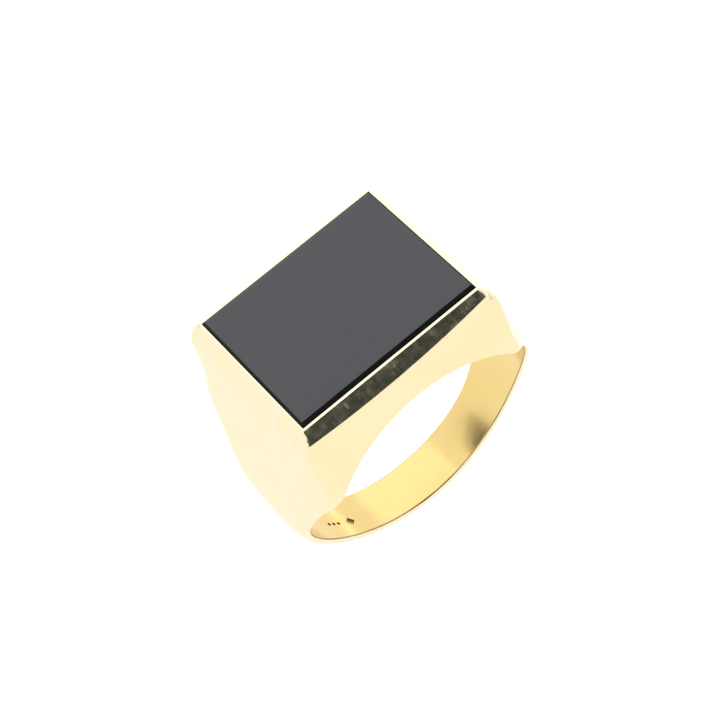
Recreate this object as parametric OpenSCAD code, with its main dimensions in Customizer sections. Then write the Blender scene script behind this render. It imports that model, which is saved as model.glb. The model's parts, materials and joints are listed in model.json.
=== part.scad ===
// Signet ring with a flat, bevelled onyx plate, built up from soldered gold parts.
// Origin at the centre of the finger hole. X runs across the finger along the stone's
// long side, Y along the finger and Z up through the stone. All sizes are in millimetres.

/* [Finger hole] */
// Radius of the finger hole
bore_r = 10.1; // [8:0.05:11.5]

/* [Stone] */
// Length of the onyx plate, across the finger
stone_l = 15; // [14:0.1:16]
// Width of the onyx plate, along the finger
stone_w = 12; // [11.5:0.1:12.5]
// Thickness of the onyx plate, table to back
stone_t = 2.2; // [1.8:0.1:2.4]
// Width of the polished bevel round the table, seen from above
stone_bevel_w = 0.26; // [0.1:0.02:0.5]
// Height of that bevel, which is how far the table stands above the rim
stone_bevel_h = 0.3; // [0.1:0.02:0.5]

/* [Head] */
// Height of the rim above the centre of the finger hole
rim_z = 13.6; // [13.2:0.1:14.5]
// Width of the rim beside the long sides of the stone
rim_long = 0.2; // [0.15:0.05:0.4]
// How far the head reaches beyond the short sides of the stone
rim_short = 0.75; // [0.6:0.05:0.9]
// Width of the flat rim beside the short sides of the stone
rim_end = 0.1; // [0.08:0.02:0.2]
// Slope of the head's ends, from that rim down to the shoulders
end_slope = 57; // [50:1:65]
// Width of the sloping strip outside the long rims, seen from above
strip_w = 0.86; // [0.5:0.02:1]
// Height of the sloping strip
strip_h = 0.86; // [0.5:0.02:1]
// Lean of the cheeks, outward from the strip down to the finger hole, in degrees
cheek_lean = 7.4; // [4:0.1:8]
// Radius of the slight outward bow of each cheek along its length
cheek_bow_r = 160; // [120:5:180]
// Place of the highest point of that bow along the stone's length
cheek_bow_x = -2.1; // [-3:0.1:3]

/* [Shoulders and band] */
// Thickness of the band at its crown
band_t = 0.8; // [0.7:0.05:1.1]
// Thickness of the band at its edges
edge_t = 0.5; // [0.3:0.05:0.6]
// Half the length of the head where the shoulders' edges run down beside the cheeks
shoulder_edge_x = 8.6; // [8.5:0.05:8.8]
// Reach of the band towards the front, which is a little more than towards the rear
band_front_w = 2.3; // [2.1:0.05:2.5]
// Reach of the band towards the rear
band_rear_w = 1.6; // [1.4:0.05:1.8]
// Radius of the front curve that narrows the ring from the cheeks to the band
flank_front_r = 25.6; // [25.2:0.1:26]
// Radius of the rear curve
flank_rear_r = 23; // [22.6:0.1:23.6]
// Height of the centres of both curves, where the band is narrowest
flank_z = -9.5; // [-9.8:0.1:-9.2]
// Angle round the ring, from the stone, of the joints between shoulders and shank
joint_angle = 110; // [100:1:130]

/* [Inside the head] */
// Thickness of the curved liner between the head's hollow and the finger
liner_t = 0.4; // [0.3:0.05:0.5]
// Thickness of the collar's walls beside the long sides of the stone
collar_wall = 0.4; // [0.3:0.05:0.5]
// Depth of the collar's outer flange below the rim
flange_h = 1.15; // [1.1:0.05:1.3]
// Thickness of the ledge that the stone sits on
seat_t = 0.4; // [0.3:0.05:0.5]
// Width of that ledge
seat_w = 1.3; // [0.8:0.1:2]
// Thickness of the cement bed between the ledge and the stone
cement_t = 0.1; // [0.05:0.01:0.15]

/* [Maker's punch] */
// Angle round the ring, from the stone, of the plain marks inside the shank
punch_angle = 220; // [190:1:230]
// Place of the punch marks across the band, negative towards the front
punch_y = -0.9; // [-1.2:0.1:1]
// Depth of the plain marks
punch_depth = 0.12; // [0.05:0.01:0.15]

/* [Hidden] */

$fn = 96;
gold = [0.93, 0.78, 0.45];
pale_gold = [0.96, 0.87, 0.62];
onyx = [0.06, 0.06, 0.07];
cement = [0.25, 0.24, 0.22];

band_r = bore_r + band_t;
table_z = rim_z + stone_bevel_h;
stone_back_z = table_z - stone_t;
seat_top_z = stone_back_z - cement_t;
seat_z = seat_top_z - seat_t;
flange_z = rim_z - flange_h;
// half sizes of the head in plan
head_x = stone_l / 2 + rim_short;
rim_y = stone_w / 2 + rim_long;
strip_y = rim_y + strip_w;
collar_y = stone_w / 2 + collar_wall;
// each shoulder's crown is a straight line down from the rim that meets the band's circle as its tangent
head_angle = atan(head_x / rim_z);
tangent_angle = head_angle + acos(band_r / norm([head_x, rim_z]));
// how full the outside is across its width: flat with rounded edges at the head, domed at the band
full_power = 8;
dome_power = 3;
full_angle = 60;
// the sizes of the punched lozenge and dots
lozenge_side = 0.7;
dot_r = 0.18;
dot_pitch = 0.5;
// the steps of the shaped surface round the ring, and across it as shares of the reach to each side
step_angle = 4;
shares = [-1.06, -0.97, -0.88, -0.75, -0.5, 0.5, 0.75, 0.88, 0.97, 1.06];
beyond = 3;
far = 40;

// Distance of the crown from the finger hole's centre, at an angle from the stone
function crown_at(a) = band_r / cos(max(0, tangent_angle - a));

// Distance of the band's edges, which thin out towards the ends of the cheeks' arches
function edge_r(a) = bore_r + edge_t * max(0.2, min(1, (a - full_angle) / (90 - full_angle)));

// Distance of the shoulders' edges, which run straight down, and of the band's edges
function edge_at(a) = a < 90 ? max(edge_r(a), min(crown_at(a), shoulder_edge_x / sin(a))) : edge_r(a);

// Reach of a side face at a height, given the band's reach w and the flank's radius r on that side
function reach_at(z, w, r) = let(
    cheek = strip_y + (rim_z - strip_h - z) * tan(cheek_lean),
    flank = w + r - sqrt(pow(r, 2) - pow(z - flank_z, 2)))
    min(cheek, flank);

// How full the outside is at an angle, from full at the head to domed at the band
function power_at(a) = let(share = (joint_angle - a) / (joint_angle - full_angle))
    dome_power + (full_power - dome_power) * max(0, min(1, share));

// A point on the domed outside at an angle a and a share s of the reach, negative towards the front
function domed(a, s) = let(
    crown = crown_at(a),
    edge = edge_at(a),
    r = crown - (crown - edge) * pow(abs(s), power_at(a)),
    z = edge * cos(a),
    reach = s < 0 ? reach_at(z, band_front_w, flank_front_r) : reach_at(z, band_rear_w, flank_rear_r))
    [r, s * reach];

// One cross-section of the domed form, a closed loop in the plane at a turn a from the stone
function section(a) = let(
    inner = bore_r - beyond / 2,
    either_way = min(a, 360 - a),
    crown = [for (s = shares) domed(either_way, s)],
    loop = concat([[inner, crown[0][1]]], crown, [[inner, crown[len(shares) - 1][1]]]))
    [for (p = loop) [p[0] * sin(a), p[1], p[0] * cos(a)]];

// The domed form between two angles, reaching inside the finger hole
module domed_form(from, to) {
    steps = ceil((to - from) / step_angle);
    size = len(shares) + 2;
    points = [for (i = [0:steps]) each section(from + (to - from) * i / steps)];
    sides = [for (i = [0:steps - 1], j = [0:size - 1])
        let(p = i * size + j, q = i * size + (j + 1) % size)
        each [[p, q, p + size], [q, q + size, p + size]]];
    start = [for (j = [size - 1:-1:0]) j];
    end = [for (j = [0:size - 1]) steps * size + j];
    polyhedron(points = points, faces = concat([start], sides, [end]));
}

// A straight block between two heights
module block(half_x, half_y, low, high) {
    translate([-half_x, -half_y, low]) cube([2 * half_x, 2 * half_y, high - low]);
}

module finger_bore(r = bore_r) {
    rotate([90, 0, 0]) cylinder(r = r, h = far, center = true, $fn = 180);
}

// The ring's outline seen along X: rim, sloping strips and the curves down to the band
module side_outline() {
    reach = strip_w + beyond;
    low_z = rim_z - strip_h / strip_w * reach;
    bottom_z = -2 * bore_r;
    difference() {
        polygon([[rim_y, rim_z], [rim_y + reach, low_z], [rim_y + reach, bottom_z],
            [-rim_y - reach, bottom_z], [-rim_y - reach, low_z], [-rim_y, rim_z]]);
        translate([band_rear_w + flank_rear_r, flank_z]) circle(r = flank_rear_r, $fn = 360);
        translate([-band_front_w - flank_front_r, flank_z]) circle(r = flank_front_r, $fn = 360);
    }
}

// One leaning, slightly bowed cheek surface, as the inside of a wide cylinder
module cheek_bow() {
    translate([cheek_bow_x, -strip_y, rim_z - strip_h]) rotate([-cheek_lean, 0, 0])
        translate([0, cheek_bow_r, 0]) cylinder(r = cheek_bow_r, h = 2 * far, center = true, $fn = 720);
}

// The head's outline seen along Y, with its sloping ends
module end_outline() {
    rim_x = stone_l / 2 + rim_end;
    end_x = rim_x + (rim_z + far) / tan(end_slope);
    polygon([[-rim_x, rim_z], [rim_x, rim_z], [end_x, -far], [-end_x, -far]]);
}

// Everything that lies between the two side faces of the ring and under the head's sloping ends
module side_form() {
    intersection() {
        rotate([90, 0, 0]) linear_extrude(height = 2 * far, center = true) end_outline();
        rotate([90, 0, 90]) linear_extrude(height = far, center = true) side_outline();
        cheek_bow();
        mirror([0, 1, 0]) cheek_bow();
    }
}

// The stone's outline seen from one side, with the table's bevel at the top
module bevelled_profile(half) {
    low = stone_back_z - beyond;
    polygon([[-half, low], [half, low], [half, rim_z], [half - stone_bevel_w, table_z],
        [-half + stone_bevel_w, table_z], [-half, rim_z]]);
}

module onyx_plate() {
    half_x = stone_l / 2;
    half_y = stone_w / 2;
    color(onyx) intersection() {
        block(half_x, half_y, stone_back_z, table_z);
        rotate([90, 0, 0]) linear_extrude(height = far, center = true)
            bevelled_profile(half_x);
        rotate([90, 0, 90]) linear_extrude(height = far, center = true)
            bevelled_profile(half_y);
    }
}

// A flat frame that fills the edge of the stone's pocket
module ledge(low, high) {
    difference() {
        block(stone_l / 2, stone_w / 2, low, high);
        block(stone_l / 2 - seat_w, stone_w / 2 - seat_w, low - 1, high + 1);
    }
}

module stone_cement() {
    color(cement) ledge(seat_top_z, stone_back_z);
}

module stone_seat() {
    color(gold) ledge(seat_z, seat_top_z);
}

module bezel_collar() {
    color(gold) difference() {
        union() {
            intersection() {
                side_form();
                block(head_x, far, flange_z, rim_z);
            }
            block(head_x, collar_y, seat_z, flange_z);
        }
        block(stone_l / 2, stone_w / 2, seat_z - 1, rim_z + 1);
    }
}

// The front cheek; the rear one is its mirror image
module cheek() {
    difference() {
        intersection() {
            side_form();
            translate([-head_x, -far, 0]) cube([2 * head_x, far - collar_y, flange_z]);
        }
        finger_bore();
    }
}

module front_cheek() {
    color(pale_gold) cheek();
}

module rear_cheek() {
    color(pale_gold) mirror([0, 1, 0]) cheek();
}

// The shoulder on the side where x is positive; the other is its mirror image
module shoulder() {
    difference() {
        intersection() {
            domed_form(head_angle - step_angle, joint_angle);
            side_form();
            translate([head_x, -far, -far]) cube([far, 2 * far, far + rim_z]);
        }
        finger_bore();
    }
}

module right_shoulder() {
    color(pale_gold) shoulder();
}

module left_shoulder() {
    color(pale_gold) mirror([1, 0, 0]) shoulder();
}

module finger_liner() {
    color(gold) difference() {
        intersection() {
            finger_bore(bore_r + liner_t);
            block(head_x, collar_y, 0, far);
        }
        finger_bore();
    }
}

// A plain lozenge and a row of three dots, sunk into the inside of the shank
module punch_marks() {
    height = 1 + punch_depth;
    rotate([0, punch_angle, 0]) translate([0, punch_y, bore_r - 1]) {
        translate([0, 0, height / 2]) rotate([0, 0, 45])
            cube([lozenge_side, lozenge_side, height], center = true);
        for (k = [1:3])
            translate([lozenge_side + dot_pitch * k, 0, 0]) cylinder(r = dot_r, h = height, $fn = 24);
    }
}

module shank() {
    color(gold) difference() {
        intersection() {
            domed_form(joint_angle, 360 - joint_angle);
            side_form();
        }
        finger_bore();
        punch_marks();
    }
}

onyx_plate();
stone_cement();
stone_seat();
bezel_collar();
front_cheek();
rear_cheek();
left_shoulder();
right_shoulder();
finger_liner();
shank();
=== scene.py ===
"""A gold signet ring with a flat onyx plate: smooth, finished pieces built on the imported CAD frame."""

import json
import math

import bmesh
import bpy
import numpy as np
from mathutils import Matrix, Vector


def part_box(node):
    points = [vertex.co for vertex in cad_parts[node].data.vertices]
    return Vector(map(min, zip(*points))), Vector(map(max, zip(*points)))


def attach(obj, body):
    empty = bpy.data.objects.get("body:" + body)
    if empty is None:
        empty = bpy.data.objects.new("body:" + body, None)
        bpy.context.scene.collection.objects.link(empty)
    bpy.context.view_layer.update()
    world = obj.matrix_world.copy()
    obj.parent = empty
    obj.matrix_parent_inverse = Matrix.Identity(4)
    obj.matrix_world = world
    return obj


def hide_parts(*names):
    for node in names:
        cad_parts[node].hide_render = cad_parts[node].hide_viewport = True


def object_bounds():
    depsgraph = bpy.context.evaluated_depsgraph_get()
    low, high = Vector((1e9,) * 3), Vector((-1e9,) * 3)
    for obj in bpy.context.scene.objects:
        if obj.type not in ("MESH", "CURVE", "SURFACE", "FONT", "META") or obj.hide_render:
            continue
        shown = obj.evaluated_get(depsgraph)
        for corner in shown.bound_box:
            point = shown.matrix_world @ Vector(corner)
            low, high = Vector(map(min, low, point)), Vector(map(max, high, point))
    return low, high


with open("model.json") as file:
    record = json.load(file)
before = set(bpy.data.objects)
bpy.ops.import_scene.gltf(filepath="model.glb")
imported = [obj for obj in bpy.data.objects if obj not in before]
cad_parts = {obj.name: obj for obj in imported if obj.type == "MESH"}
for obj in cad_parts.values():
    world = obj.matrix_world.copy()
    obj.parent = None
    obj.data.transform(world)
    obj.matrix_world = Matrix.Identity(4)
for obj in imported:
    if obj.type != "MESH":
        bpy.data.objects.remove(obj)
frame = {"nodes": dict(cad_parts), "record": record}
cad_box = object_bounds()
MM = 0.001

# ---------------------------------------------------------------- sizes, in millimetres and degrees


def mm_box(node):
    low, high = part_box(node)
    return np.array(low) / MM, np.array(high) / MM


stone_low, stone_high = mm_box("onyx_plate")
collar_low, collar_high = mm_box("bezel_collar")
cheek_high = mm_box("front_cheek")[1]
liner_high = mm_box("finger_liner")[1]
bore_r = frame["record"]["mounts"][0]["dims"]["r_mm"]
liner_r = liner_high[2]
head_x = collar_high[0]
rim_z = collar_high[2]
seat_z = collar_low[2]
flange_z = cheek_high[2]
collar_y = liner_high[1]
stone_x, stone_y = stone_high[0], stone_high[1]
table_z, stone_back_z = stone_high[2], stone_low[2]

# the stone
STONE_BEVEL_W = 0.26  # width of the bevel along the long sides, seen from above
SHORT_SHARE = 0.7  # width of the bevel along the short sides, as a share of that

# the head
RIM_LONG = 0.2  # width of the rim beside the stone's long sides
RIM_END = 0.1  # width of the flat rim beside the stone's short sides
END_SLOPE = math.tan(math.radians(57.0))  # fall of the head's ends, away from that rim
END_BLEND = 0.5  # how softly those ends run out into the shoulders
BELOW_ENDS, HALVINGS = 11.0, 40  # a height below those ends, and the halvings that find a place on them
STRIP = 0.86  # width and height of the sloping strips outside the long rims
LEAN = math.radians(7.4)  # outward lean of the cheeks, below the strips
BOW_R, BOW_X = 160.0, -2.1  # radius of the cheeks' slight bow, and where along them it stands out most

# the shoulders and the band
BAND_R = bore_r + 0.8  # outside of the band at its crown
EDGE_T = 0.5  # thickness of the band at its edges
EDGE_X = 8.6  # distance from the middle plane where the shoulders' edges run straight down
# the band's least reach to the front, the radius of its side there, and how softly the cheek runs into it
FRONT_W, FRONT_R, FRONT_BLEND = 2.3, 25.6, 0.4
REAR_W, REAR_R, REAR_BLEND = 1.6, 23.0, 1.2  # the same at the rear
FLANK_Z = -9.5  # height where the band is narrowest
JOINT = 110.0  # angle from the stone to the joints between shoulders and shank
FULL_ANGLE, FULL_POWER = 60.0, 8.0  # down to this angle the outside is flat, with rounded edges
DOME_POWER = 3.0  # from the joint on it is domed
THIN_EDGE = 0.2  # share of the edge thickness that is left beside the cheeks

# worn and hand-worked places; a pair is the span over which a change comes in
CHAMFER = 0.08  # width of the worn edge along the finger hole
SHARP_RIDGE, SOFT_RIDGE = 0.12, 0.42  # rounding of the front left upright edge, and of the other three
RIDGE_Z, RIDGE_TOP = (5.5, 8.0), (0.0, 0.6)  # heights where it grows, and depths below the rim where it ends
TOP_SHARE = 0.15  # share of it that is left at the rim
LEAST_RIDGE = 0.05  # rounding where the wall of the head is thin
LEAST_WALL = 0.04  # wall that the rounding leaves up to the flange
SPARE_GROWTH = 1.5  # how much more it may take for each millimetre above the flange
HOLLOW, HOLLOW_X = 0.25, (5.0, 8.0)  # depth of a shallow hollow at the front right, and where it deepens
HOLLOW_Z, HOLLOW_HALF = 5.0, 4.0  # its middle height and half its height
CORNER_DROP, CORNER_X = 0.34, (5.9, 7.9)  # how far the strip's rear left corner is worked back, and where
CORNER_Z, CORNER_TOP = (12.5, 13.3), (0.0, 0.8)  # heights, and depths below the rim

# a plain lozenge and three dots, punched inside the shank
PUNCH_ANGLE, PUNCH_Y, PUNCH_DEPTH = 220.0, -0.9, 0.12
LOZENGE_HALF, DOT_R, DOT_START, DOT_PITCH = 0.5, 0.18, 0.7, 0.5

# the meshes
WELD = 2e-6  # corners closer than this, in metres, become one
ACROSS = 74  # cells across a shoulder and the shank, from front to rear
BAND_CREASE, PLATE_CREASE, RIM_CREASE = 38, 30, 25  # edges that turn more than this, in degrees, stay sharp

rim_y = stone_y + RIM_LONG
strip_y = rim_y + STRIP
strip_z = rim_z - STRIP
flat_x = stone_x + RIM_END
head_angle = math.atan2(head_x, rim_z)
tangent = head_angle + math.acos(BAND_R / math.hypot(head_x, rim_z))

# ---------------------------------------------------------------- shape of the outside


def rise(value, start, end):
    """0 at the start, 1 at the end and a straight line between them, never beyond either."""
    return min(1.0, max(0.0, (value - start) / (end - start)))


def soft_min(a, b, width):
    """The lower of two values, with a rounded change where they are closer than the width."""
    blend = max(width - abs(a - b), 0.0) / width
    return min(a, b) - blend * blend * width / 4


def crown_x(z):
    """Distance of the head's end and of a shoulder's outside from the middle plane, at a height."""
    line = (BAND_R - z * math.cos(tangent)) / math.sin(tangent)
    circle = math.sqrt(max(0.0, BAND_R**2 - z * z))
    crown = line if z > BAND_R * math.cos(tangent) else circle
    return soft_min(crown, flat_x + (rim_z - z) / END_SLOPE, END_BLEND)


def end_top(x):
    """Height of the head's sloping end at a place along the stone's length, found by halving."""
    if abs(x) <= flat_x:
        return rim_z
    low, high = BELOW_ENDS, rim_z
    for _ in range(HALVINGS):
        mid = (low + high) / 2
        low, high = (mid, high) if crown_x(mid) > abs(x) else (low, mid)
    return (low + high) / 2


def edge_r(angle):
    """Radius of the band's edges, which thin out towards the cheeks' arches."""
    return bore_r + EDGE_T * max(THIN_EDGE, rise(angle, FULL_ANGLE, 90.0))


def power(angle):
    """How flat the outside is across the band: the higher, the flatter."""
    return DOME_POWER + (FULL_POWER - DOME_POWER) * rise(angle, JOINT, FULL_ANGLE)


def bow(x):
    """How far a cheek has curved back at a place along the stone's length."""
    return (x - BOW_X) ** 2 / (2 * BOW_R) / math.cos(LEAN)


def side_y(x, z, side):
    """How far the front (side below 0) or the rear reaches at a point: strip, bowed cheek or flank."""
    strip = rim_y + rim_z - z
    cheek = strip_y + (strip_z - z) * math.tan(LEAN) - bow(x)
    w, r, blend = (FRONT_W, FRONT_R, FRONT_BLEND) if side < 0 else (REAR_W, REAR_R, REAR_BLEND)
    flank = w + r - math.sqrt(max(0.0, r * r - (z - FLANK_Z) ** 2))
    reach = min(strip, soft_min(cheek, flank, blend))
    if side < 0:
        reach -= HOLLOW * rise(x, *HOLLOW_X) * max(0.0, 1 - ((z - HOLLOW_Z) / HOLLOW_HALF) ** 2)
    if side > 0 and x < 0:
        reach -= CORNER_DROP * rise(-x, *CORNER_X) * rise(z, *CORNER_Z) * rise(rim_z - z, *CORNER_TOP)
    ridge = SHARP_RIDGE if side < 0 and x < 0 else SOFT_RIDGE
    ridge *= rise(z, *RIDGE_Z) * max(TOP_SHARE, rise(rim_z - z, *RIDGE_TOP))
    spare = cheek - collar_y - LEAST_WALL + max(0.0, z - flange_z) * (SPARE_GROWTH + math.tan(LEAN))
    ridge = min(ridge, max(LEAST_RIDGE, spare))
    gap = min(ridge, max(0.0, min(crown_x(z), EDGE_X) - abs(x)))
    return reach - (ridge - math.sqrt(max(0.0, ridge**2 - (ridge - gap) ** 2)))


# ---------------------------------------------------------------- mesh building


def add_object(name, verts, faces):
    """A mesh object from corners in millimetres."""
    mesh = bpy.data.meshes.new(name)
    mesh.from_pydata([tuple(c * MM for c in v) for v in verts], [], faces)
    mesh.validate()
    obj = bpy.data.objects.new(name, mesh)
    bpy.context.scene.collection.objects.link(obj)
    return obj


def clean(obj, angle):
    """Welds touching corners, turns every face outward and shades it smooth between creases."""
    bm = bmesh.new()
    bm.from_mesh(obj.data)
    bmesh.ops.remove_doubles(bm, verts=bm.verts, dist=WELD)
    bmesh.ops.dissolve_degenerate(bm, edges=bm.edges, dist=WELD / 4)
    bmesh.ops.recalc_face_normals(bm, faces=bm.faces)
    for f in bm.faces:
        f.smooth = True
    bm.to_mesh(obj.data)
    bm.free()
    obj.data.set_sharp_from_angle(angle=math.radians(angle))
    return obj


def deformed_block(name, nu, nv, nw, place):
    """A closed block of nu by nv by nw cells; a function of its three indexes places each surface point."""
    index, verts, faces = {}, [], []

    def at(i, j, k):
        if (i, j, k) not in index:
            index[(i, j, k)] = len(verts)
            verts.append(place(i, j, k))
        return index[(i, j, k)]

    for k, turned in ((0, True), (nw, False)):
        for i in range(nu):
            for j in range(nv):
                quad = [at(i, j, k), at(i + 1, j, k), at(i + 1, j + 1, k), at(i, j + 1, k)]
                faces.append(quad[::-1] if turned else quad)
    for j, turned in ((0, False), (nv, True)):
        for i in range(nu):
            for k in range(nw):
                quad = [at(i, j, k), at(i + 1, j, k), at(i + 1, j, k + 1), at(i, j, k + 1)]
                faces.append(quad[::-1] if turned else quad)
    for i, turned in ((0, True), (nu, False)):
        for j in range(nv):
            for k in range(nw):
                quad = [at(i, j, k), at(i, j + 1, k), at(i, j + 1, k + 1), at(i, j, k + 1)]
                faces.append(quad[::-1] if turned else quad)
    return add_object(name, verts, faces)


def ring_faces(size, following):
    """Faces between one loop of corners and the next, for each pair of loops."""
    faces = []
    for a, b in following:
        for j in range(size):
            m = (j + 1) % size
            faces.append([a * size + j, b * size + j, b * size + m, a * size + m])
    return faces


# ---------------------------------------------------------------- shoulders and shank


def share_at(j, x, z):
    """Share of the reach for a row: rows crowd towards the edges, and one lies where the chamfer starts."""
    if j in (0, ACROSS):
        return -1.0 if j == 0 else 1.0
    share = math.sin(math.pi / 2 * (2 * (j - 1) / (ACROSS - 2) - 1))
    return share * (1 - CHAMFER / side_y(x, z, -1 if share < 0 else 1))


def band_point(j, angle, depth):
    """A point of row j at an angle from the stone, and at a depth from the bore (0) to the outside (1)."""
    a = math.radians(angle)
    share = share_at(j, bore_r * math.sin(a), bore_r * math.cos(a))
    outer = BAND_R - (BAND_R - edge_r(angle)) * abs(share) ** power(angle)
    inner = bore_r + (CHAMFER if abs(share) == 1.0 else 0.0)
    r = inner + (outer - inner) * depth
    x, z = r * math.sin(a), r * math.cos(a)
    return x, share * side_y(x, z, share), z


def shoulder_point(j, z, depth, side):
    """The same at a height above the finger hole's centre; side is -1 at the left and 1 at the right."""
    bore_x = math.sqrt(max(0.0, bore_r**2 - z * z))
    share = share_at(j, side * max(bore_x, head_x), z)
    cut = CHAMFER if abs(share) == 1.0 and bore_r**2 - z * z > head_x**2 + 0.01 else 0.0
    inner = max(head_x, math.sqrt(max(0.0, (bore_r + cut) ** 2 - z * z)))
    crown = crown_x(z)
    angle = math.degrees(math.atan2(crown, z))
    edge = max(math.sqrt(max(0.0, edge_r(angle) ** 2 - z * z)), min(crown, EDGE_X))
    outer = crown - (crown - edge) * abs(share) ** power(angle)
    x = inner + (max(outer, inner) - inner) * depth
    return x, share * side_y(side * x, z, share), z


def make_shoulder(name, side):
    corner_z = math.sqrt(bore_r**2 - head_x**2)
    close_z = 11.8  # height where the rows under the rim change their spacing
    heights = [*np.linspace(end_top(head_x), close_z, 12), *np.linspace(close_z, corner_z, 52)[1:]]
    heights += [*np.linspace(corner_z, 0.0, 40)[1:]]
    turns = np.linspace(90.0, JOINT, 16)[1:]
    deep = 5

    def place(i, j, k):
        if i < len(heights):
            x, y, z = shoulder_point(j, heights[i], k / deep, side)
        else:
            x, y, z = band_point(j, turns[i - len(heights)], k / deep)
        return side * x, y, z

    return clean(deformed_block(name, len(heights) + len(turns) - 1, ACROSS, deep, place), BAND_CREASE)


def make_shank():
    steps, deep = 150, 4

    def place(i, j, k):
        turn = JOINT + (360 - 2 * JOINT) * i / steps
        x, y, z = band_point(j, min(turn, 360 - turn), k / deep)
        return (x if turn <= 180 else -x), y, z

    return clean(deformed_block("shank_band", steps, ACROSS, deep, place), BAND_CREASE)


def cutter(name, outline, angle):
    """A short tapered punch, pushed from inside the band into its inner face."""
    count = len(outline)
    low, high = bore_r - 0.6, bore_r + PUNCH_DEPTH
    taper = 0.8  # size of the punch's tip, as a share of its foot
    verts = [(x, y, low) for x, y in outline] + [(x * taper, y * taper, high) for x, y in outline]
    faces = [list(range(count)), list(range(count, 2 * count))[::-1]] + ring_faces(count, [(0, 1)])
    obj = add_object(name, verts, faces)
    turn = Matrix.Rotation(math.radians(angle), 4, "Y")
    obj.data.transform(Matrix.Translation((0, PUNCH_Y * MM, 0)) @ turn)
    return clean(obj, PLATE_CREASE)


def punch(target):
    """Cuts the lozenge and the three dots, and gives the cut piece smooth shading again."""
    lozenge = [(LOZENGE_HALF, 0), (0, LOZENGE_HALF), (-LOZENGE_HALF, 0), (0, -LOZENGE_HALF)]
    corners = [math.tau * k / 16 for k in range(16)]
    dot = [(DOT_R * math.cos(a), DOT_R * math.sin(a)) for a in corners]
    shapes = [("punch_lozenge", lozenge, 0.0)]
    shapes += [(f"punch_dot_{n}", dot, DOT_START + DOT_PITCH * n) for n in (1, 2, 3)]
    for name, outline, along in shapes:
        tool = cutter(name, outline, PUNCH_ANGLE + math.degrees(along / bore_r))
        mod = target.modifiers.new(name, "BOOLEAN")
        mod.operation = "DIFFERENCE"
        mod.solver = "EXACT"
        mod.object = tool
        bpy.context.view_layer.update()
        cut = target.evaluated_get(bpy.context.evaluated_depsgraph_get())
        done = bpy.data.meshes.new_from_object(cut)
        target.modifiers.clear()
        target.data = done
        bpy.data.objects.remove(tool)
    for f in target.data.polygons:
        f.use_smooth = True
    target.data.set_sharp_from_angle(angle=math.radians(BAND_CREASE))


left = make_shoulder("left_shoulder_satin", -1)
right = make_shoulder("right_shoulder_satin", 1)
shank = make_shank()
punch(shank)

# ---------------------------------------------------------------- head


def make_cheek(name, side):
    long, high, deep = 120, 24, 3

    def place(i, j, k):
        x = -head_x + 2 * head_x * i / long
        low = math.sqrt(bore_r**2 - x * x)
        z = low + (flange_z - low) * j / high
        y = collar_y + (side_y(x, z, side) - collar_y) * k / deep
        return x, side * y, z

    return clean(deformed_block(name, long, high, deep, place), PLATE_CREASE)


def make_liner():
    start = math.asin(head_x / bore_r)
    long, wide = 120, 16

    def place(i, j, k):
        a = start * (2 * i / long - 1)
        r = bore_r + (liner_r - bore_r) * k
        x = max(-head_x, min(head_x, r * math.sin(a)))
        return x, collar_y * (2 * j / wide - 1), math.sqrt(r * r - x * x)

    return clean(deformed_block("finger_liner_plate", long, wide, 1, place), PLATE_CREASE)


def make_collar():
    """A closed ring of sections, each round the rim, the sloping end or strip, the flange and the pocket."""
    steps = (0.25, 0.5, 0.75, 1.0)

    def top_line(x):
        """Places out to x: the pocket's edge, the end of the flat rim and four steps beyond it."""
        flat = min(abs(x), flat_x)
        beyond = max(0.0, abs(x) - flat_x)
        spread = [min(abs(x), stone_x), flat] + [beyond * t + flat for t in steps]
        return [math.copysign(v, x) for v in spread]

    def long_side(x, side):
        high = end_top(x)
        out_y = side_y(x, high, side)
        first, *others = top_line(x)
        points = [(first, stone_y, seat_z), (first, stone_y, rim_z)]
        span = abs(x) - abs(first)
        for v in others:
            part = (abs(v) - abs(first)) / span if span > 1e-6 else 1.0
            points.append((v, stone_y + (out_y - stone_y) * part, end_top(v)))
        foot = min(high, strip_z + bow(x) / (1 - math.tan(LEAN)))
        down = [high + (foot - high) * t for t in steps] + [flange_z]
        points += [(x, side_y(x, z, side), z) for z in down]
        points += [(x, collar_y, flange_z), (x, collar_y, seat_z)]
        return [(px, side * py, pz) for px, py, pz in points]

    def short_side(y, end):
        outer = end * head_x
        points = [(end * stone_x, y, seat_z), (end * stone_x, y, rim_z)]
        points += [(v, y, end_top(v)) for v in top_line(outer)[1:]]
        points += [(outer, y, end_top(outer))] * len(steps)
        points += [(outer, y, flange_z), (outer, y, flange_z), (outer, y, seat_z)]
        return points

    fine = [*np.linspace(flat_x, head_x, 14)]
    xs = [-v for v in fine[::-1]] + [*np.linspace(-flat_x, flat_x, 90)[1:-1]] + fine
    ys = [*np.linspace(-stone_y, stone_y, 41)[1:-1]]
    sections = [long_side(x, -1) for x in xs]
    sections += [short_side(y, 1) for y in ys]
    sections += [long_side(x, 1) for x in xs[::-1]]
    sections += [short_side(y, -1) for y in ys[::-1]]
    count = len(sections)
    faces = ring_faces(len(sections[0]), [(i, (i + 1) % count) for i in range(count)])
    return clean(add_object("bezel_collar_rim", [p for s in sections for p in s], faces), RIM_CREASE)


def rounded_loop(half_x, half_y, z, r, steps=6):
    loop = []
    for cx, cy, start in ((1, 1, 0), (-1, 1, 90), (-1, -1, 180), (1, -1, 270)):
        for k in range(steps + 1):
            a = math.radians(start + 90 * k / steps)
            loop.append((cx * (half_x - r) + r * math.cos(a), cy * (half_y - r) + r * math.sin(a), z))
    return loop


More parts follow.
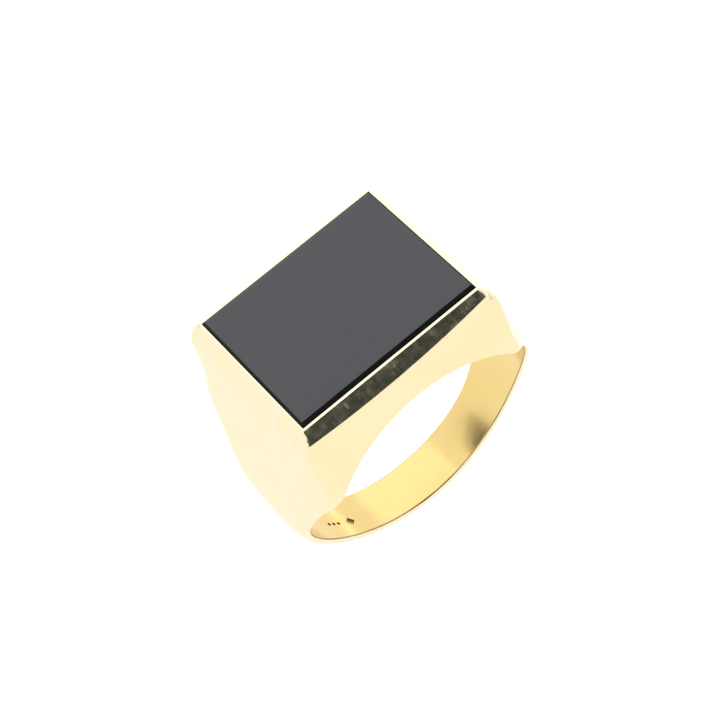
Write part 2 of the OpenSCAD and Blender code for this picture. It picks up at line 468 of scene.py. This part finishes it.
def make_stone():
    """Flat table, a crisp polished bevel with barely rounded edges, and straight sides down to the ledge."""
    slope = (table_z - rim_z) / STONE_BEVEL_W
    bevel_z = rim_z - 0.05
    side, top = 0.06, 0.04  # corner radius of the sides and of the table
    # how far each level lies in from the stone's outline, its height and its corner radius
    levels = [
        (0.6, stone_back_z, side),
        (0.1, stone_back_z, side),
        (0.05, stone_back_z + 0.05, side),
        (0.05, bevel_z, side),
        (0.062, bevel_z + 0.012 * slope, side),
        (STONE_BEVEL_W - 0.015, table_z - 0.015 * slope, top),
        (STONE_BEVEL_W, table_z - 0.006, top),
        (STONE_BEVEL_W + 0.015, table_z, top),
        (STONE_BEVEL_W + 0.4, table_z, top),
    ]
    loops = [rounded_loop(stone_x - SHORT_SHARE * d, stone_y - d, z, r) for d, z, r in levels]
    size, last = len(loops[0]), len(loops) - 1
    faces = [list(range(size))[::-1], list(range(last * size, (last + 1) * size))]
    faces += ring_faces(size, [(i + 1, i) for i in range(last)])
    return clean(add_object("onyx_table_stone", [p for loop in loops for p in loop], faces), RIM_CREASE)


front_cheek = make_cheek("front_cheek_plate", -1)
rear_cheek = make_cheek("rear_cheek_plate", 1)
liner = make_liner()
collar = make_collar()
stone = make_stone()

# ---------------------------------------------------------------- materials


class Nodes:
    """A small helper to wire a material's node tree."""

    def __init__(self, name, metallic=0.0):
        self.mat = bpy.data.materials.new(name)
        self.mat.use_nodes = True
        self.tree = self.mat.node_tree
        self.bsdf = self.tree.nodes["Principled BSDF"]
        self.bsdf.inputs["Metallic"].default_value = metallic

    def new(self, kind, **props):
        node = self.tree.nodes.new(kind)
        for key, value in props.items():
            setattr(node, key, value)
        return node

    def put(self, socket, value):
        if isinstance(value, bpy.types.NodeSocket):
            self.tree.links.new(value, socket)
        else:
            socket.default_value = value

    def surface(self, color, rough):
        self.put(self.bsdf.inputs["Base Color"], color)
        self.put(self.bsdf.inputs["Roughness"], rough)

    def math(self, op, a, b=0.0):
        node = self.new("ShaderNodeMath", operation=op)
        self.put(node.inputs[0], a)
        self.put(node.inputs[1], b)
        return node.outputs[0]

    def position(self):
        return self.new("ShaderNodeTexCoord").outputs["Object"]

    def noise(self, scale, turn=(0, 0, 0), detail=3.0, rough=0.6):
        """Noise with its own scale along each axis, per metre, turned by angles in degrees."""
        mapping = self.new("ShaderNodeMapping")
        mapping.inputs["Scale"].default_value = scale
        mapping.inputs["Rotation"].default_value = [math.radians(t) for t in turn]
        self.put(mapping.inputs["Vector"], self.position())
        node = self.new("ShaderNodeTexNoise")
        node.inputs["Scale"].default_value = 1.0
        node.inputs["Detail"].default_value = detail
        node.inputs["Roughness"].default_value = rough
        self.put(node.inputs["Vector"], mapping.outputs[0])
        return node.outputs["Fac"]

    def ramp(self, fac, low, high, a=0.0, b=1.0):
        node = self.new("ShaderNodeMapRange")
        node.inputs["From Min"].default_value = low
        node.inputs["From Max"].default_value = high
        node.inputs["To Min"].default_value = a
        node.inputs["To Max"].default_value = b
        self.put(node.inputs["Value"], fac)
        return node.outputs[0]

    def mix(self, fac, a, b):
        """A colour between two, each of them three numbers or a socket."""
        node = self.new("ShaderNodeMix", data_type="RGBA")
        self.put(node.inputs[0], fac)
        for socket, color in ((node.inputs[6], a), (node.inputs[7], b)):
            self.put(socket, (*color, 1) if isinstance(color, tuple) else color)
        return node.outputs[2]

    def bump(self, height, strength, distance):
        node = self.new("ShaderNodeBump")
        node.inputs["Strength"].default_value = strength
        node.inputs["Distance"].default_value = distance
        self.put(node.inputs["Height"], height)
        self.put(self.bsdf.inputs["Normal"], node.outputs[0])


def gold(name, light, deep, rough, lines, line_bump):
    """Gold with slight clouds of colour and gloss, and fine lines left by the buffing."""
    n = Nodes(name, 1.0)
    cloud = n.noise((160, 160, 160), detail=2.0)
    grain = n.noise((420, 420, 420), detail=4.0)
    n.surface(n.mix(n.ramp(cloud, 0.3, 0.7), deep, light), n.ramp(grain, 0.3, 0.75, *rough))
    n.bump(n.noise(*lines, rough=0.7), line_bump, 0.00001)
    return n.mat


def satin_gold():
    """Pale satin gold outside, streaked round the ring, and smooth gold inside the finger hole, painted
    darker and deeper there as painted shade.
    """
    n = Nodes("gold_satin", 1.0)
    cloud = n.noise((160, 160, 160), detail=2.0)
    grain = n.noise((420, 420, 420), detail=4.0)
    fine = n.noise((30, 4200, 30), detail=2.0, rough=0.8)
    streak = n.noise((16, 1100, 16), rough=0.7)
    split = n.new("ShaderNodeSeparateXYZ")
    n.put(split.inputs[0], n.position())
    level = n.new("ShaderNodeCombineXYZ")
    n.put(level.inputs[0], split.outputs[0])
    n.put(level.inputs[2], split.outputs[2])
    distance = n.new("ShaderNodeVectorMath", operation="LENGTH")
    n.put(distance.inputs[0], level.outputs[0])
    outside = n.ramp(distance.outputs["Value"], (bore_r + 0.02) * MM, (bore_r + 0.06) * MM)
    # inside the finger hole the same gold is painted darker and deeper: painted shade
    shaded_inside_gold = n.mix(n.ramp(cloud, 0.3, 0.7), (0.82, 0.61, 0.235), (0.8528, 0.6466, 0.27025))
    pale = n.mix(n.ramp(streak, 0.32, 0.68), (0.95, 0.79, 0.50), (0.97, 0.8295, 0.63))
    brushed = n.math("MULTIPLY", outside, n.ramp(streak, 0.3, 0.7, 0.15, 0.31))
    n.surface(n.mix(outside, shaded_inside_gold, pale), n.math("ADD", n.ramp(grain, 0.3, 0.75, 0.13, 0.23), brushed))
    lines = n.math("ADD", n.math("MULTIPLY", fine, 0.55), n.math("MULTIPLY", streak, 0.45))
    n.bump(n.math("MULTIPLY", outside, lines), 0.5, 0.00003)
    return n.mat


def strip_gold():
    """The collar: fine crossing scratches and clouds on the sloping strips."""
    n = Nodes("gold_collar", 1.0)
    cloud = n.noise((1500, 1500, 1500))
    along = n.noise((9000, 1400, 1400), (0, 0, 28), rough=0.7)
    cross = n.noise((1500, 8000, 8000), (12, 0, 8), rough=0.7)
    weaker = n.math("MULTIPLY", n.ramp(cross, 0.55, 0.78), 0.8)
    marks = n.math("MAXIMUM", n.ramp(along, 0.55, 0.78), weaker)
    color = n.mix(n.ramp(cloud, 0.35, 0.65), (0.90, 0.75, 0.47), (0.95, 0.80, 0.51))
    rough = n.math("ADD", n.ramp(marks, 0.0, 1.0, 0.12, 0.24), n.ramp(cloud, 0.4, 0.7, 0.0, 0.1))
    n.surface(color, rough)
    n.bump(n.math("ADD", marks, n.math("MULTIPLY", cloud, 0.5)), 0.16, 0.000008)
    return n.mat


def shaded_edge_gold():
    """Gold darkened with painted shade, along the chamfered edge of the finger hole and in the punch marks.
    """
    n = Nodes("gold_painted_shade_edge", 1.0)
    shade_mottle = n.noise((500, 500, 500))
    color = n.mix(n.ramp(shade_mottle, 0.35, 0.65), (0.30, 0.24, 0.11), (0.46, 0.38, 0.19))
    n.surface(color, n.ramp(shade_mottle, 0.3, 0.7, 0.25, 0.4))
    return n.mat


def onyx():
    """The polished table, with hairline scratches."""
    n = Nodes("onyx_polished")
    cloud = n.noise((90, 140, 90), detail=4.0)
    hair = n.noise((1800, 60, 60), (0, 0, 33), detail=4.0, rough=0.7)
    color = n.mix(n.ramp(cloud, 0.3, 0.7), (0.004, 0.0045, 0.006), (0.008, 0.008, 0.009))
    n.surface(color, n.ramp(hair, 0.5, 0.8, 0.05, 0.12))
    n.bsdf.inputs["IOR"].default_value = 1.72
    n.bsdf.inputs["Specular Tint"].default_value = (0.93, 0.955, 1.0, 1)
    n.bump(hair, 0.03, 0.000004)
    return n.mat


def onyx_edge():
    """The ground bevel and sides, darker and duller than the table."""
    n = Nodes("onyx_bevel")
    grind = n.noise((900, 900, 300), detail=4.0, rough=0.7)
    color = n.mix(n.ramp(grind, 0.3, 0.7), (0.006, 0.0065, 0.007), (0.012, 0.012, 0.012))
    n.surface(color, n.ramp(grind, 0.3, 0.7, 0.12, 0.25))
    n.bsdf.inputs["Specular IOR Level"].default_value = 0.04
    return n.mat


def cement():
    n = Nodes("cement_dark")
    grain = n.noise((2500, 2500, 2500), detail=5.0)
    n.surface(n.mix(grain, (0.04, 0.036, 0.03), (0.09, 0.085, 0.075)), n.ramp(grain, 0.2, 0.8, 0.7, 0.9))
    n.bump(grain, 0.4, 0.00002)
    return n.mat


polished = gold(
    "gold_polished",
    light=(0.95, 0.80, 0.50),
    deep=(0.93, 0.76, 0.45),
    rough=(0.05, 0.12),
    lines=((500, 500, 60), (20, 35, 0)),
    line_bump=0.06,
)
# gold inside the finger hole and on the seat under the stone, painted darker and deeper as painted shade
inner = gold(
    "gold_inner",
    light=(0.86, 0.66, 0.28),
    deep=(0.82, 0.61, 0.235),
    rough=(0.18, 0.3),
    lines=((120, 900, 120), (0, 0, 0)),
    line_bump=0.12,
)
# the flat top of the rim: the same gold painted paler, a painted highlight
rim_gold_painted_highlight = gold(
    "gold_rim_painted_highlight",
    light=(0.97, 0.86, 0.62),
    deep=(0.95, 0.83, 0.58),
    rough=(0.06, 0.14),
    lines=((900, 900, 90), (0, 0, 0)),
    line_bump=0.05,
)
satin, painted_shade_edge = satin_gold(), shaded_edge_gold()


def finish(obj, slot, node, *materials):
    """Makes an object the visual piece of a node; its faces take the first of its materials."""
    obj.data.materials.clear()
    for material in materials:
        obj.data.materials.append(material)
    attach(obj, "root")
    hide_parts(node)


def give_faces(obj, material, passes):
    """Gives a material to each face that passes a test."""
    index = list(obj.data.materials).index(material)
    for face in obj.data.polygons:
        if passes(face):
            face.material_index = index


def middle(face):
    return face.center / MM


def radius(face):
    spot = middle(face)
    return math.hypot(spot.x, spot.z)


def on_bevel(face):
    return face.normal.z < 0.9


def on_sloping_end(face):
    return abs(face.normal.x) > 0.4 and abs(middle(face).x) > flat_x


def on_rim(face):
    return face.normal.z > 0.97 and middle(face).z > flange_z


def on_side(face):
    return abs(face.normal.y) > 0.8 and radius(face) > bore_r + 0.3


def on_chamfer(face):
    return radius(face) < bore_r + CHAMFER * 0.8 and 0.3 < abs(face.normal.y) < 0.95


def in_punch_mark(face):
    spot = middle(face)
    deep = 0.01 < radius(face) - bore_r < PUNCH_DEPTH + 0.01
    return deep and abs(spot.y - PUNCH_Y) < LOZENGE_HALF + 0.1 and spot.x < 0


bevel = onyx_edge()
finish(stone, "onyx", "onyx_plate", onyx(), bevel)
finish(collar, "gold_polished", "bezel_collar", strip_gold(), satin, rim_gold_painted_highlight)
finish(front_cheek, "gold_polished", "front_cheek", polished)
finish(rear_cheek, "gold_polished", "rear_cheek", polished)
finish(left, "gold_satin", "left_shoulder", satin, polished, painted_shade_edge)
finish(right, "gold_satin", "right_shoulder", satin, polished, painted_shade_edge)
finish(liner, "gold_inner", "finger_liner", inner)
finish(shank, "gold_inner", "shank", satin, painted_shade_edge)

give_faces(stone, bevel, on_bevel)
give_faces(collar, satin, on_sloping_end)
# the flat top of the rim takes the paler gold of the painted highlight
give_faces(collar, rim_gold_painted_highlight, on_rim)
for shoulder in (left, right):
    give_faces(shoulder, polished, on_side)
# the chamfers along the finger hole and the punch marks take the gold darkened with painted shade
for band in (left, right, shank):
    give_faces(band, painted_shade_edge, on_chamfer)
give_faces(shank, painted_shade_edge, in_punch_mark)

for node, material in (("stone_cement", cement()), ("stone_seat", inner)):
    kept = frame["nodes"][node]
    kept.data.materials.clear()
    kept.data.materials.append(material)

# ---------------------------------------------------------------- floor, light and camera, in metres

floor_z = cad_box[0].z
FLOOR_HALF = 1.5
GLOW_LIFT = 0.0002  # height of the brighter parts above the floor
LIGHT_TABLE = 1.12  # strength of the floor and of the surroundings


def emission_material(name, color, strength):
    mat = bpy.data.materials.new(name)
    mat.use_nodes = True
    tree = mat.node_tree
    tree.nodes.clear()
    out = tree.nodes.new("ShaderNodeOutputMaterial")
    glow = tree.nodes.new("ShaderNodeEmission")
    glow.inputs["Color"].default_value = (*color, 1)
    glow.inputs["Strength"].default_value = strength
    tree.links.new(glow.outputs[0], out.inputs[0])
    return mat


def sheet(name, x0, x1, y0, y1, material):
    """A flat rectangle at its own origin's height."""
    mesh = bpy.data.meshes.new(name)
    mesh.from_pydata([(x0, y0, 0), (x1, y0, 0), (x1, y1, 0), (x0, y1, 0)], [], [(0, 1, 2, 3)])
    mesh.materials.append(material)
    obj = bpy.data.objects.new(name, mesh)
    bpy.context.scene.collection.objects.link(obj)
    return obj


def only_in_reflections(obj):
    obj.visible_camera = False
    obj.visible_diffuse = False
    obj.visible_shadow = False


def card(name, centre, half_u, half_v, material):
    """A flat card that faces the ring, seen only in reflections."""
    obj = sheet(name, -half_u, half_u, -half_v, half_v, material)
    facing = (-centre).to_track_quat("Z", "X").to_matrix().to_4x4()
    obj.matrix_world = Matrix.Translation(centre) @ facing
    only_in_reflections(obj)


def floor_glow(name, x0, x1, y0, y1, strength):
    """A brighter part of the light table, seen only in reflections."""
    obj = sheet(name, x0, x1, y0, y1, emission_material(name, (1.0, 1.0, 1.0), strength))
    obj.location.z = floor_z + GLOW_LIFT
    only_in_reflections(obj)


light_table = emission_material("floor_light_table", (1.0, 1.0, 1.0), LIGHT_TABLE)
floor = sheet("floor", -FLOOR_HALF, FLOOR_HALF, -FLOOR_HALF, FLOOR_HALF, light_table)
floor.location.z = floor_z

world = bpy.data.worlds.new("studio")
bpy.context.scene.world = world
world.use_nodes = True
background = world.node_tree.nodes["Background"]
background.inputs["Color"].default_value = (1.0, 0.998, 0.99, 1)
background.inputs["Strength"].default_value = LIGHT_TABLE

floor_glow("glow_right", x0=0.014, x1=0.09, y0=-0.012, y1=0.12, strength=1.6)
floor_glow("glow_rear", x0=0.0, x1=0.014, y0=0.026, y1=0.12, strength=1.5)
card(
    "dark_front",
    centre=Vector((0.17, -0.84, 0.515)) * 0.4,
    half_u=0.13,
    half_v=0.105,
    material=emission_material("dark_card", color=(0.70, 0.87, 1.06), strength=0.062),
)
card(
    "soft_top",
    centre=Vector((0.30, 0.55, 0.80)) * 0.5,
    half_u=0.28,
    half_v=0.28,
    material=emission_material("soft_top", color=(0.99, 1.0, 1.0), strength=1.4),
)
# close behind the finger hole, for the dark reflection inside the band
card(
    "dim_side",
    centre=Vector((-0.0068, 0.0061, 0.0014)),
    half_u=0.0027,
    half_v=0.0018,
    material=emission_material("dim_side", color=(1.0, 0.98, 0.95), strength=0.06),
)

bpy.context.scene.view_settings.view_transform = "Standard"
bpy.context.scene.view_settings.look = "None"

AZIMUTH, ELEVATION, ROLL = math.radians(-107.2), math.radians(54.6), math.radians(-25.0)
DISTANCE = 0.147
AIM = Vector((0.00081, 0.0027, 0.00233))
# directions from the ring to the camera, and to the right and up in its picture
flat_part = math.cos(ELEVATION)
back = Vector((flat_part * math.cos(AZIMUTH), flat_part * math.sin(AZIMUTH), math.sin(ELEVATION)))
level = (-back).cross(Vector((0, 0, 1))).normalized()
upward = level.cross(-back)
right_axis = level * math.cos(ROLL) + upward * math.sin(ROLL)
up_axis = -level * math.sin(ROLL) + upward * math.cos(ROLL)
lens = bpy.data.cameras.new("camera")
lens.lens = 100.0
lens.sensor_width = 36.0
lens.clip_start = 0.005
lens.clip_end = 10.0
camera = bpy.data.objects.new("camera", lens)
bpy.context.scene.collection.objects.link(camera)
turn = Matrix((right_axis, up_axis, back)).transposed().to_4x4()
camera.matrix_world = Matrix.Translation(AIM + back * DISTANCE) @ turn
bpy.context.scene.camera = camera
